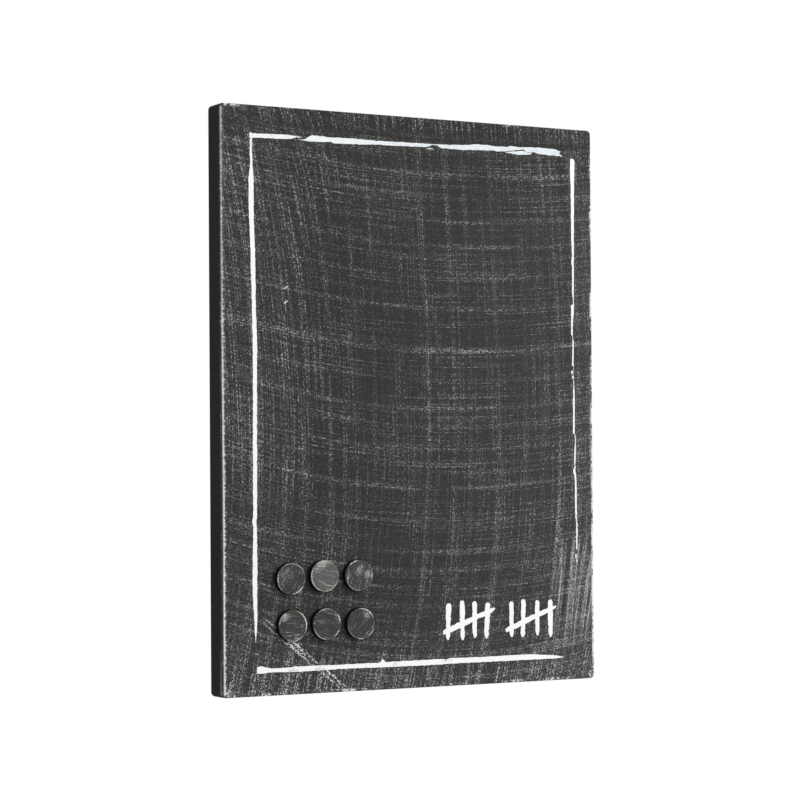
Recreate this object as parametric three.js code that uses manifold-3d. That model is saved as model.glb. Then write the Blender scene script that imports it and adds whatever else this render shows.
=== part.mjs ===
// Metal memo board: a pressed steel tray that hangs on a wall, with six round magnets on its face.
// Millimetres. The painted face looks towards -Y, the wall is the plane y = 0 and +Z is up.
// The origin lies on the wall plane, behind the middle of the face.

import * as THREE from 'three';
import { mergeVertices } from 'three/addons/utils/BufferGeometryUtils.js';
import Module from 'manifold-3d';

const wasm = await Module();
wasm.setup();

// Tray, pressed from one sheet: face, four walls and a lip folded in behind each wall
const BOARD_WIDTH = 300;
const BOARD_HEIGHT = 400;
const TRAY_DEPTH = 20;
const SHEET = 0.8;
const BEND_INSIDE = 1.2;
const FACE_CORNER = 1.2; // radius left on the corners of the flat face
const LIP_WIDTH = 12; // from the outside of the wall to the free edge of the lip
const MITRE_GAP = 0.8; // slit between two lips that meet at a corner

// Rubber pads on the lips, which hold the board off the wall
const PAD_THICKNESS = 2;
const PAD_MARGIN = 0.5; // from the pad to each side of the lip's flat
const PAD_FROM_CORNER = 22;
const PAD_EDGE = 0.4;

// Keyhole plates, riveted inside the upper lip
const HANGER_FROM_SIDE = 50; // side of the board to the middle of the plate
const HANGER_WIDTH = 32;
const HANGER_SHEET = 1.2;
const HANGER_CORNER = 3;
const HANGER_TOP_GAP = 0.5; // plate to the upper fold
const HANGER_RIM = 6.5; // metal below the keyhole
const SCREW_HEAD_HOLE = 9;
const SCREW_SLOT = 5;
const SLOT_BELOW_LIP = 5; // lip's free edge to the centre of the slot's round end
const SLOT_TRAVEL = 12; // centre of the head hole to the centre of the slot's round end

// Blind rivets, two to a plate
const RIVET_DIAMETER = 3.2;
const RIVET_CLEARANCE = 0.2;
const RIVET_HEAD_DIAMETER = 6.4;
const RIVET_HEAD_HEIGHT = 1;
const RIVET_TAIL_DIAMETER = 4.8;
const RIVET_TAIL_HEIGHT = 1.6;
const RIVET_BORE_DIAMETER = 1.6; // left where the pulled pin broke off
const RIVET_BORE_DEPTH = 0.8;
const RIVET_SPACING = 18;

// Magnets: a ferrite disc in a pressed cap
const MAGNET_DIAMETER = 22;
const MAGNET_THICKNESS = 5;
const CAP_WALL = 0.7;
const CAP_RIM = 1.4; // rounding of the cap's front edge
const CORE_GAP = 0.3; // glue line between the disc and its cap
const MAGNET_FROM_LEFT = 39; // side of the board to the first magnet's edge
const MAGNET_FROM_BOTTOM = 37;
const MAGNET_GAP_ACROSS = 4;
const MAGNET_GAP_UP = 7.5;
// Each magnet was set down by hand, so it lies a little off the grid: [across, up]
const UPPER_ROW_OFFSETS = [[-0.3, 1.5], [-0.6, 2.8], [0.1, 2.5]];
const LOWER_ROW_OFFSETS = [[0.7, -0.9], [0.8, -0.5], [1.4, -1.2]];

// Fineness of round shapes
const CORNER_STEPS = 6;
const BEND_STEPS = 4;
const ROUND_STEPS = 40;
const SMALL_ROUND_STEPS = 24;
const HOLE_STEPS = 8; // to half a turn

// Places that follow from the sizes above
const BEND_OUTSIDE = BEND_INSIDE + SHEET;
const CORNER_OUTSIDE = FACE_CORNER + BEND_OUTSIDE;
const REAR_Y = -PAD_THICKNESS;
const FACE_Y = REAR_Y - TRAY_DEPTH;
const LIP_INNER_Y = REAR_Y - SHEET;
const LIP_FLAT = LIP_WIDTH - BEND_OUTSIDE;
const LIP_MIDDLE = BEND_OUTSIDE + LIP_FLAT / 2; // outside of the wall to the middle of the lip's flat
const HANGER_X = BOARD_WIDTH / 2 - HANGER_FROM_SIDE;
const RIVET_Z = BOARD_HEIGHT / 2 - LIP_MIDDLE;
const HANGER_TOP_Z = BOARD_HEIGHT / 2 - BEND_OUTSIDE - HANGER_TOP_GAP;
const SLOT_TOP_Z = BOARD_HEIGHT / 2 - LIP_WIDTH - SLOT_BELOW_LIP;
const HEAD_HOLE_Z = SLOT_TOP_Z - SLOT_TRAVEL;
const HANGER_BOTTOM_Z = HEAD_HOLE_Z - SCREW_HEAD_HOLE / 2 - HANGER_RIM;

const MATERIALS = {
  paintedSteel: new THREE.MeshStandardMaterial({ color: 0x4a4948, roughness: 0.62, metalness: 0.2 }),
  zincPlate: new THREE.MeshStandardMaterial({ color: 0xb4b7b8, roughness: 0.38, metalness: 0.9 }),
  aluminium: new THREE.MeshStandardMaterial({ color: 0xc6c8ca, roughness: 0.42, metalness: 0.9 }),
  rubber: new THREE.MeshStandardMaterial({ color: 0x26272a, roughness: 0.95, metalness: 0 }),
  paintedCap: new THREE.MeshStandardMaterial({ color: 0x43423f, roughness: 0.55, metalness: 0.2 }),
  ferrite: new THREE.MeshStandardMaterial({ color: 0x2c2c2e, roughness: 0.8, metalness: 0.1 }),
};

// Joins and cuts

function toSolid(geometry) {
  geometry.deleteAttribute('normal');
  geometry.deleteAttribute('uv');
  const merged = mergeVertices(geometry);
  const vertProperties = new Float32Array(merged.attributes.position.array);
  const triVerts = new Uint32Array(merged.index.array);
  return new wasm.Manifold(new wasm.Mesh({ numProp: 3, vertProperties, triVerts }));
}

function toGeometry(solid) {
  const { numProp, vertProperties, triVerts } = solid.getMesh();
  const positions = new Float32Array((vertProperties.length / numProp) * 3);
  for (let i = 0; i < positions.length; i++) {
    positions[i] = vertProperties[Math.floor(i / 3) * numProp + (i % 3)];
  }
  const geometry = new THREE.BufferGeometry();
  geometry.setAttribute('position', new THREE.BufferAttribute(positions, 3));
  geometry.setIndex(new THREE.BufferAttribute(new Uint32Array(triVerts), 1));
  geometry.computeVertexNormals();
  return geometry;
}

function cut(geometry, tools) {
  return toGeometry(tools.reduce((solid, tool) => solid.subtract(toSolid(tool)), toSolid(geometry)));
}

// Shapes

// One ring of a folded box: a rectangle with round corners, drawn in by an inset, at depth y
function roundedRing(width, height, corner, inset, y) {
  const radius = corner - inset;
  const ring = [];
  [[1, 1], [-1, 1], [-1, -1], [1, -1]].forEach(([sideX, sideZ], quarter) => {
    const centreX = sideX * (width / 2 - corner);
    const centreZ = sideZ * (height / 2 - corner);
    for (let step = 0; step <= CORNER_STEPS; step++) {
      const angle = (Math.PI / 2) * (quarter + step / CORNER_STEPS);
      ring.push([centreX + radius * Math.cos(angle), y, centreZ + radius * Math.sin(angle)]);
    }
  });
  return ring;
}

// Closed skin through rings that run from the front to the back, with a flat end on each
function loft(rings) {
  const count = rings[0].length;
  const positions = rings.flat(2);
  const frontCentre = rings.length * count;
  const backCentre = frontCentre + 1;
  positions.push(0, rings[0][0][1], 0, 0, rings[rings.length - 1][0][1], 0);
  const index = [];
  for (let point = 0; point < count; point++) {
    const next = (point + 1) % count;
    index.push(frontCentre, point, next);
    for (let ring = 0; ring < rings.length - 1; ring++) {
      const near = ring * count;
      const far = near + count;
      index.push(near + point, far + point, far + next, near + point, far + next, near + next);
    }
    const last = (rings.length - 1) * count;
    index.push(backCentre, last + next, last + point);
  }
  const geometry = new THREE.BufferGeometry();
  geometry.setAttribute('position', new THREE.Float32BufferAttribute(positions, 3));
  geometry.setIndex(index);
  return geometry;
}

// Closed box whose front and rear folds are round, and whose upright corners are rounder still
function foldedBox(width, height, frontY, rearY, bend) {
  const corner = FACE_CORNER + bend;
  const rings = [];
  for (let step = 0; step <= BEND_STEPS; step++) {
    const angle = (Math.PI / 2) * (step / BEND_STEPS);
    const inset = bend * (1 - Math.sin(angle));
    const depth = bend * (1 - Math.cos(angle));
    rings.push({ inset, y: frontY + depth }, { inset, y: rearY - depth });
  }
  rings.sort((a, b) => a.y - b.y);
  return loft(rings.map(({ inset, y }) => roundedRing(width, height, corner, inset, y)));
}

// Round solid about the Y axis from [radius, y] points that start and end on the axis
function turned(points, steps) {
  return new THREE.LatheGeometry(points.map(([radius, y]) => new THREE.Vector2(radius, y)), steps);
}

// Points of a quarter round about [centreRadius, centreY], from one angle to another in degrees
function quarterRound(centreRadius, centreY, radius, from, to) {
  const points = [];
  for (let step = 0; step <= BEND_STEPS; step++) {
    const angle = THREE.MathUtils.degToRad(from + (to - from) * (step / BEND_STEPS));
    points.push([centreRadius + radius * Math.cos(angle), centreY + radius * Math.sin(angle)]);
  }
  return points;
}

// Tray

// Slit through the rear sheet from the opening's corner out to the fold
function mitreSlit(sideX, sideZ) {
  const from = CORNER_OUTSIDE;
  const to = LIP_WIDTH + MITRE_GAP;
  const slit = new THREE.BoxGeometry((to - from) * Math.SQRT2, 4 * SHEET, MITRE_GAP);
  slit.rotateY((-sideX * sideZ * Math.PI) / 4);
  const inward = (from + to) / 2;
  slit.translate(sideX * (BOARD_WIDTH / 2 - inward), REAR_Y, sideZ * (BOARD_HEIGHT / 2 - inward));
  return slit;
}

function rivetHole(x) {
  const radius = RIVET_DIAMETER / 2 + RIVET_CLEARANCE;
  return new THREE.CylinderGeometry(radius, radius, 4 * SHEET, SMALL_ROUND_STEPS).translate(x, REAR_Y, RIVET_Z);
}

function frontTray() {
  const skin = foldedBox(BOARD_WIDTH, BOARD_HEIGHT, FACE_Y, REAR_Y, BEND_OUTSIDE);
  const hollow = foldedBox(
    BOARD_WIDTH - 2 * SHEET, BOARD_HEIGHT - 2 * SHEET, FACE_Y + SHEET, LIP_INNER_Y, BEND_INSIDE,
  );
  const opening = new THREE.BoxGeometry(BOARD_WIDTH - 2 * LIP_WIDTH, 4 * SHEET, BOARD_HEIGHT - 2 * LIP_WIDTH);
  opening.translate(0, REAR_Y, 0);
  const slits = [[1, 1], [-1, 1], [-1, -1], [1, -1]].map(([sideX, sideZ]) => mitreSlit(sideX, sideZ));
  return cut(skin, [hollow, opening, ...slits, ...rivetPlaces().map(rivetHole)]);
}

// Hangers

function rivetPlaces() {
  return [-HANGER_X, HANGER_X].flatMap((x) => [x - RIVET_SPACING / 2, x + RIVET_SPACING / 2]);
}

function roundedPlate(width, bottom, top, corner) {
  const shape = new THREE.Shape();
  const side = width / 2 - corner;
  shape.absarc(side, top - corner, corner, 0, Math.PI / 2, false);
  shape.absarc(-side, top - corner, corner, Math.PI / 2, Math.PI, false);
  shape.absarc(-side, bottom + corner, corner, Math.PI, 1.5 * Math.PI, false);
  shape.absarc(side, bottom + corner, corner, 1.5 * Math.PI, 2 * Math.PI, false);
  return shape;
}

// Round hole for the screw's head, with a slot above it for the shank
function keyhole() {
  const head = SCREW_HEAD_HOLE / 2;
  const slot = SCREW_SLOT / 2;
  const joint = Math.acos(slot / head);
  const path = new THREE.Path();
  path.absarc(0, SLOT_TOP_Z, slot, 0, Math.PI, false);
  path.absarc(0, HEAD_HOLE_Z, head, Math.PI - joint, 2 * Math.PI + joint, false);
  path.closePath();
  return path;
}

function roundHole(x, z, radius) {
  const path = new THREE.Path();
  path.absarc(x, z, radius, 0, 2 * Math.PI, false);
  return path;
}

function hangerPlate(x) {
  const shape = roundedPlate(HANGER_WIDTH, HANGER_BOTTOM_Z, HANGER_TOP_Z, HANGER_CORNER);
  const radius = RIVET_DIAMETER / 2 + RIVET_CLEARANCE;
  shape.holes = [
    keyhole(),
    roundHole(-RIVET_SPACING / 2, RIVET_Z, radius),
    roundHole(RIVET_SPACING / 2, RIVET_Z, radius),
  ];
  const plate = new THREE.ExtrudeGeometry(shape, {
    depth: HANGER_SHEET, bevelEnabled: false, curveSegments: HOLE_STEPS,
  });
  return plate.rotateX(Math.PI / 2).translate(x, LIP_INNER_Y, 0);
}

// Blind rivet from its tail inside the tray to its domed head on the lip
function rivet(x) {
  const shank = RIVET_DIAMETER / 2;
  const tail = RIVET_TAIL_DIAMETER / 2;
  const head = RIVET_HEAD_DIAMETER / 2;
  const bore = RIVET_BORE_DIAMETER / 2;
  const tailY = LIP_INNER_Y - HANGER_SHEET;
  const headY = REAR_Y + RIVET_HEAD_HEIGHT;
  const points = [
    [0, tailY - RIVET_TAIL_HEIGHT],
    [tail * 0.7, tailY - RIVET_TAIL_HEIGHT],
    [tail, tailY - RIVET_TAIL_HEIGHT / 2],
    [tail, tailY],
    [shank, tailY],
    [shank, REAR_Y],
    [head, REAR_Y],
    [head * 0.85, REAR_Y + RIVET_HEAD_HEIGHT * 0.6],
    [head * 0.5, headY],
    [bore, headY],
    [bore, headY - RIVET_BORE_DEPTH],
    [0, headY - RIVET_BORE_DEPTH],
  ];
  return turned(points, SMALL_ROUND_STEPS).translate(x, 0, RIVET_Z);
}

// Wall pads

function bumperPad(sideX, sideZ) {
  const radius = LIP_FLAT / 2 - PAD_MARGIN;
  const points = [[0, REAR_Y], [radius, REAR_Y], ...quarterRound(radius - PAD_EDGE, -PAD_EDGE, PAD_EDGE, 0, 90), [0, 0]];
  const x = sideX * (BOARD_WIDTH / 2 - LIP_MIDDLE);
  const z = sideZ * (BOARD_HEIGHT / 2 - PAD_FROM_CORNER);
  return turned(points, SMALL_ROUND_STEPS).translate(x, 0, z);
}

// Magnets

function magnetPlaces() {
  const radius = MAGNET_DIAMETER / 2;
  const firstX = -BOARD_WIDTH / 2 + MAGNET_FROM_LEFT + radius;
  const firstZ = -BOARD_HEIGHT / 2 + MAGNET_FROM_BOTTOM + radius;
  const pitchX = MAGNET_DIAMETER + MAGNET_GAP_ACROSS;
  const pitchZ = MAGNET_DIAMETER + MAGNET_GAP_UP;
  const place = (row) => ([across, up], column) => (
    [firstX + column * pitchX + across, firstZ + row * pitchZ + up]
  );
  return [...UPPER_ROW_OFFSETS.map(place(1)), ...LOWER_ROW_OFFSETS.map(place(0))];
}

// Cup whose mouth lies on the board's face
function magnetCap(x, z) {
  const radius = MAGNET_DIAMETER / 2;
  const frontY = FACE_Y - MAGNET_THICKNESS;
  const points = [
    [0, frontY],
    ...quarterRound(radius - CAP_RIM, frontY + CAP_RIM, CAP_RIM, -90, 0),
    [radius, FACE_Y],
    [radius - CAP_WALL, FACE_Y],
    [radius - CAP_WALL, frontY + CAP_WALL],
    [0, frontY + CAP_WALL],
  ];
  return turned(points, ROUND_STEPS).translate(x, 0, z);
}

function magnetCore(x, z) {
  const radius = MAGNET_DIAMETER / 2 - CAP_WALL - CORE_GAP;
  const height = MAGNET_THICKNESS - CAP_WALL - CORE_GAP;
  return new THREE.CylinderGeometry(radius, radius, height, ROUND_STEPS).translate(x, FACE_Y - height / 2, z);
}

// Assembly

const board = new THREE.Group();

function addPiece(name, geometry, material) {
  const mesh = new THREE.Mesh(geometry, material);
  mesh.name = name;
  board.add(mesh);
}

addPiece('front_tray', frontTray(), MATERIALS.paintedSteel);
addPiece('hanger_plate_left', hangerPlate(-HANGER_X), MATERIALS.zincPlate);
addPiece('hanger_plate_right', hangerPlate(HANGER_X), MATERIALS.zincPlate);
rivetPlaces().forEach((x, i) => addPiece(`hanger_rivet_${i + 1}`, rivet(x), MATERIALS.aluminium));

[['upper_left', -1, 1], ['upper_right', 1, 1], ['lower_left', -1, -1], ['lower_right', 1, -1]].forEach(
  ([corner, sideX, sideZ]) => addPiece(`bumper_pad_${corner}`, bumperPad(sideX, sideZ), MATERIALS.rubber),
);

magnetPlaces().forEach(([x, z], i) => {
  addPiece(`magnet_cap_${i + 1}`, magnetCap(x, z), MATERIALS.paintedCap);
  addPiece(`magnet_core_${i + 1}`, magnetCore(x, z), MATERIALS.ferrite);
});

export default board;
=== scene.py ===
# %% [markdown]
# # A metal memo board
# The board is a shallow tray pressed from thin steel, painted matt charcoal and then dry-brushed with
# white. A rough white line runs round its face, and six round magnets stand at the lower left.
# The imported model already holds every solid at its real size. This script loads it as a fixed frame and
# dresses it: finer meshes where a bend or a rim shows, raised brush strokes, and a finish for each piece.

# %% Load the frame
import math
import random
from functools import partialmethod

import bmesh
import bpy
from mathutils import Matrix, Vector


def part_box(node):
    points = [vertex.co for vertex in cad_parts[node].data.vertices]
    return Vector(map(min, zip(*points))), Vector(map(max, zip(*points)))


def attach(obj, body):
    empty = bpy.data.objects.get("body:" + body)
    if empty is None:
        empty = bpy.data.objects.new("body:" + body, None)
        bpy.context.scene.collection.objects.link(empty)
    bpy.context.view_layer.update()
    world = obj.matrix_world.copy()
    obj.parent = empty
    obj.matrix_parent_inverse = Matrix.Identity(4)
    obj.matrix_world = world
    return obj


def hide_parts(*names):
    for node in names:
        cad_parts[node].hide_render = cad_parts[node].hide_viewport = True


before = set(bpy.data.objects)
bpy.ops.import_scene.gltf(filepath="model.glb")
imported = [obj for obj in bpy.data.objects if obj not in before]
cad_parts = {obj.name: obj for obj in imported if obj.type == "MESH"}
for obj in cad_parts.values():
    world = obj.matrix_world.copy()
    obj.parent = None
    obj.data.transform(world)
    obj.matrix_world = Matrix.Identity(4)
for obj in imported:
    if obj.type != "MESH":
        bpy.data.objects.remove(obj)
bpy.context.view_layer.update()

# %% [markdown]
# ## Sizes
# Blender works in metres, and a maker thinks in millimetres, so `MM` turns one into the other.
# Everything that a piece fits against is measured on the frame, so nothing here can drift from it.

# %% Sizes from the frame
MM = 0.001
tray_low, tray_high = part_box("front_tray")
FACE_Y = tray_low.y
REAR_Y = tray_high.y
HALF_WIDTH = tray_high.x
HALF_HEIGHT = tray_high.z
SHEET = 0.8 * MM
BEND = 2.0 * MM          # outside radius of the folds
FACE_CORNER = 1.2 * MM   # radius left on the corners of the flat face
LIP = 12 * MM            # outside of the wall to the free edge of the lip
MITRE_GAP = 0.8 * MM
print("tray, mm:", [round(v / MM, 1) for v in (2 * HALF_WIDTH, REAR_Y - FACE_Y, 2 * HALF_HEIGHT)])

# %% [markdown]
# ## Camera
# In Blender a lens, a lamp or a mesh is only data, and an object gives it a place in the scene. `show` makes
# that object. The photograph was taken from the left with a long lens, so upright edges stay almost
# parallel. The lens and the place of the camera follow from the four corners of the face and from the depth
# of the left wall.

# %% Camera
CAMERA_PLACE = Vector((-861.6, -1509.4, -52.3)) * MM
CAMERA_YAW = math.radians(29.721)
CAMERA_PITCH = math.radians(0.858)
CAMERA_ROLL = math.radians(-0.358)


def show(name, data):
    """A new object in the scene that carries the data."""
    thing = bpy.data.objects.new(name, data)
    bpy.context.scene.collection.objects.link(thing)
    return thing


camera_data = bpy.data.cameras.new("camera")
camera_data.sensor_width = 36
camera_data.lens = 110.52
camera_data.shift_y = 0.05
camera = show("camera", camera_data)
turn = Matrix.Rotation(-CAMERA_YAW, 4, "Z")
tilt = Matrix.Rotation(math.pi / 2 + CAMERA_PITCH, 4, "X")
roll = Matrix.Rotation(CAMERA_ROLL, 4, "Z")
camera.matrix_world = Matrix.Translation(CAMERA_PLACE) @ turn @ tilt @ roll
bpy.context.scene.camera = camera
print("camera to board, m:", round(CAMERA_PLACE.length, 3))

# %% [markdown]
# ## Shader maths
# A material is a graph of nodes, and a graph is hard to read as code. The small class `Value` wraps one
# output of a node, and Python's own operators on it add Math nodes. So `1 - mask * 0.5` is a line of
# code and a piece of graph at once.

# %% Values that vary over a surface
class Value:
    """What one output of a node gives at each place on a surface. Operators on it add Math nodes."""

    def __init__(self, finish, socket):
        self.finish = finish
        self.socket = socket

    def combine(self, operation, *others, **settings):
        inputs = dict(enumerate((self, *others)))
        return self.finish.value("Math", {"operation": operation, **settings}, inputs)

    __add__ = __radd__ = partialmethod(combine, "ADD")
    __sub__ = partialmethod(combine, "SUBTRACT")
    __mul__ = __rmul__ = partialmethod(combine, "MULTIPLY")
    __truediv__ = partialmethod(combine, "DIVIDE")
    __pow__ = partialmethod(combine, "POWER")
    abs = partialmethod(combine, "ABSOLUTE")
    below = partialmethod(combine, "MINIMUM")
    above = partialmethod(combine, "MAXIMUM")
    clamp = partialmethod(combine, "ADD", 0.0, use_clamp=True)

    def __rsub__(self, other):
        return (self * -1) + other

    def step(self, low, high):
        """0 up to low, 1 from high on, and a smooth rise between them. low may be the greater one."""
        inputs = {"Value": self, "From Min": low, "From Max": high}
        return self.finish.value("MapRange", {"interpolation_type": "SMOOTHSTEP"}, inputs)


# %% [markdown]
# `Finish` is a material, or the world, being built. Its `node` method makes any node: the kind, the settings
# that have to be set first, and the values or links of the sockets. `value` gives the first output of a new
# node. The rest are short words for what paint needs: places in millimetres, noise with a grain size in
# millimetres, bands, and a blend of two colours.

# %% Finishes
def grey(level):
    """A neutral colour from its linear level."""
    return (level, level, level, 1)


def srgb(code):
    """A linear colour from a code such as 3a3938."""
    parts = [int(code[i:i + 2], 16) / 255 for i in (0, 2, 4)]
    linear = [p / 12.92 if p <= 0.04045 else ((p + 0.055) / 1.055) ** 2.4 for p in parts]
    return (*linear, 1)


class Finish:
    """A material, or another owner of nodes, and the nodes that paint it."""

    def __init__(self, name, owners=bpy.data.materials):
        self.owner = owners.new(name)
        self.owner.use_nodes = True
        self.tree = self.owner.node_tree
        self.tree.nodes.clear()

    def node(self, kind, settings=None, inputs=None):
        node = self.tree.nodes.new("ShaderNode" + kind)
        for key, value in (settings or {}).items():
            if key == "stops":
                self.set_stops(node.color_ramp, value)
            else:
                setattr(node, key, value)
        for key, value in (inputs or {}).items():
            if isinstance(value, Value):
                self.tree.links.new(value.socket, node.inputs[key])
            elif isinstance(value, bpy.types.NodeSocket):
                self.tree.links.new(value, node.inputs[key])
            else:
                node.inputs[key].default_value = value
        return node

    def value(self, kind, settings=None, inputs=None):
        """A new node's first output."""
        return Value(self, self.node(kind, settings, inputs).outputs[0])

    def set_stops(self, ramp, stops):
        while len(ramp.elements) < len(stops):
            ramp.elements.new(1.0)
        for element, (place, level) in zip(ramp.elements, stops):
            element.position = place
            element.color = grey(level)

    def places(self):
        """Across, depth and up on the object, in millimetres."""
        place = self.node("TexCoord").outputs["Object"]
        parts = self.node("SeparateXYZ", inputs={0: place}).outputs
        return [Value(self, part) / MM for part in parts]

    def noise(self, x, y, z=0.0, detail=2.0, roughness=0.5):
        """Noise from 0 to 1 about 0.5, whose cells are one unit of x, y and z."""
        place = self.value("CombineXYZ", inputs={0: x, 1: y, 2: z})
        inputs = {"Vector": place, "Scale": 1.0, "Detail": detail, "Roughness": roughness}
        return self.value("TexNoise", inputs=inputs)

    def grain(self, size, detail=2.0):
        """Noise with cells of one size, in millimetres, all through the piece."""
        return self.noise(*(place / size for place in self.places()), detail=detail)

    def specks(self, x, y, disorder=1.0):
        """Round specks, one in each unit cell, of every strength from 0 to 1."""
        place = self.value("CombineXYZ", inputs={0: x, 1: y})
        inputs = {"Vector": place, "Scale": 1.0, "Randomness": disorder}
        cells = self.node("TexVoronoi", {"voronoi_dimensions": "2D", "feature": "F1"}, inputs).outputs
        chance = self.value("SeparateColor", inputs={0: cells["Color"]})
        return Value(self, cells["Distance"]).step(0.58, 0.1) * chance ** 2.2

    def bands(self, place, low, high, marks):
        """Soft bands: each mark is its place, its half width and its strength. One ramp holds ten."""
        share_along = (place - low) / (high - low)
        marks = sorted(marks)
        ramps = []
        for first in range(0, len(marks), 10):
            stops = [(0.0, 0.0)]
            for middle, half, strength in marks[first:first + 10]:
                for at, level in ((middle - half, 0), (middle, strength), (middle + half, 0)):
                    share = (at - low) / (high - low)
                    stops.append((max(share, stops[-1][0] + 0.0005), level))
            ramps.append(self.value("ValToRGB", {"stops": stops}, {0: share_along}))
        return sum(ramps)

    def blend(self, share, first, second):
        """A colour that goes from first to second as share goes from 0 to 1."""
        inputs = {0: share, 6: first, 7: second}
        return self.node("Mix", {"data_type": "RGBA"}, inputs).outputs[2]

    def bump(self, height, distance, strength=1.0):
        inputs = {"Height": height, "Distance": distance, "Strength": strength}
        return self.value("Bump", inputs=inputs)

    def surface(self, colour, rough, normal, shine=0.5, metal=0.0):
        """The shader itself, and the material that it completes."""
        inputs = {
            "Base Color": colour, "Roughness": rough, "Normal": normal,
            "Specular IOR Level": shine, "Metallic": metal,
        }
        self.node("OutputMaterial", inputs={"Surface": self.value("BsdfPrincipled", inputs=inputs)})
        return self.owner


# %% [markdown]
# ## Room
# Plain soft studio light. The world gives an even pale fill, one large lamp in front and to the right is the
# key, so the left wall of the tray falls into shade as in the photograph, and a weak lamp behind keeps the
# back readable. What the camera and mirror-like surfaces see of the world is plain white.

# %% World
WORLD_FILL = 0.45


def seen_ray(finish):
    """1 for what the camera, a mirror or a clear pane sees, and 0 for the light itself."""
    path = finish.node("LightPath").outputs
    rays = ("Is Camera Ray", "Is Glossy Ray", "Is Transmission Ray")
    camera_ray, mirror_ray, pane_ray = (Value(finish, path[ray]) for ray in rays)
    return camera_ray.above(mirror_ray).above(pane_ray)


studio = Finish("studio", bpy.data.worlds)
level = seen_ray(studio) * (1 - WORLD_FILL) + WORLD_FILL
background = studio.value("Background", inputs={"Color": grey(1), "Strength": level})
studio.node("OutputWorld", inputs={"Surface": background})
bpy.context.scene.world = studio.owner
bpy.context.scene.view_settings.view_transform = "Standard"

# %% Lamps
def lamp(name, place, size, power):
    """A square soft lamp that looks at the middle of the board."""
    data = bpy.data.lights.new(name, "AREA")
    data.size = size
    data.energy = power
    light = show(name, data)
    light.location = place
    light.rotation_euler = (-Vector(place)).to_track_quat("-Z", "Y").to_euler()
    print(name, "lamp at", [round(v, 2) for v in place], power, "W")


lamp("key", (1.5, -2.5, 1.1), 1.5, 55)
lamp("rear", (1.2, 2.2, 1.4), 1.2, 26)

# %% [markdown]
# The board hangs on a wall, so the floor lies well below it. Its finish is white to the camera, apart from a
# share of real diffuse paint near the board that takes the soft shadow.

# %% Floor
FLOOR_Z = -1.0
FLOOR_HALF = 7.0
SHADOW_SHARE = 0.16
SHADOW_FADE = (600, 2600)  # millimetres from the board, where the shadow's share fades out

floor_mesh = bpy.data.meshes.new("floor")
corners = [(x * FLOOR_HALF, y * FLOOR_HALF, FLOOR_Z) for x, y in ((-1, -1), (1, -1), (1, 1), (-1, 1))]
floor_mesh.from_pydata(corners, [], [(0, 1, 2, 3)])
floor = show("floor", floor_mesh)


def floor_finish():
    finish = Finish("pale_floor")
    across, depth, _ = finish.places()
    far = (across * across + depth * depth) ** 0.5
    share = seen_ray(finish) * (far.step(*SHADOW_FADE) * SHADOW_SHARE + (1 - SHADOW_SHARE))
    paint = finish.value("BsdfDiffuse", inputs={0: grey(0.8)})
    white = finish.value("Emission", inputs={0: grey(1)})
    mixed = finish.value("MixShader", inputs={0: share, 1: paint, 2: white})
    finish.node("OutputMaterial", inputs={"Surface": mixed})
    return finish.owner


floor.data.materials.append(floor_finish())

# %% [markdown]
# ## Mesh tools
# The folds, rims and heads on this board are all a profile that is swept or turned. `loft` joins rings into
# a closed skin, and `turned` spins a profile about an axis that points out of the wall.

# %% Mesh tools
def put(name, mesh, body, material, replaces=()):
    """A mesh becomes a piece: it rides on a body, takes a slot and a finish, and may replace nodes."""
    piece = show(name, mesh)
    if material:
        mesh.materials.clear()
        mesh.materials.append(material)
    if replaces:
        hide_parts(*replaces)
    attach(piece, body)


def dress(node, name, mesh_of, body, material):
    """A finer mesh takes the place of a node's solid, made by mesh_of from its name and its box."""
    mesh = mesh_of(name, *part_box(node))
    put(name, mesh, body, material, [node])
    print(name, "for", node, "faces:", len(mesh.polygons))


def finished_mesh(carrier, *tools):
    """The mesh of an object once its modifiers have run. The object and its tools then go."""
    bpy.context.view_layer.update()
    graph = bpy.context.evaluated_depsgraph_get()
    mesh = bpy.data.meshes.new_from_object(carrier.evaluated_get(graph))
    for used in (carrier, *tools):
        bpy.data.objects.remove(used)
    return mesh


def closed_mesh(name, shape):
    """The mesh of a finished shape, with every face turned to look out."""
    bmesh.ops.recalc_face_normals(shape, faces=shape.faces)
    mesh = bpy.data.meshes.new(name)
    shape.to_mesh(mesh)
    shape.free()
    return mesh


def loft(name, rings):
    """A closed skin through rings from front to back, with one flat face on each end."""
    shape = bmesh.new()
    rows = [[shape.verts.new(point) for point in ring] for ring in rings]
    shape.faces.new(rows[0][::-1])
    for near, far in zip(rows, rows[1:]):
        for i in range(len(near)):
            j = (i + 1) % len(near)
            shape.faces.new((near[i], near[j], far[j], far[i]))
    shape.faces.new(rows[-1])
    return closed_mesh(name, shape)


def soft_edges(mesh, angle=40):
    """Smooth shading that keeps sharp edges sharp and large flat faces flat."""
    for face in mesh.polygons:
        face.use_smooth = True
    mesh.set_sharp_from_angle(angle=math.radians(angle))
    carrier = show("carrier", mesh)
    weigh = carrier.modifiers.new("weigh", "WEIGHTED_NORMAL")
    weigh.keep_sharp = True
    weigh.weight = 90
    return finished_mesh(carrier)


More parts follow.
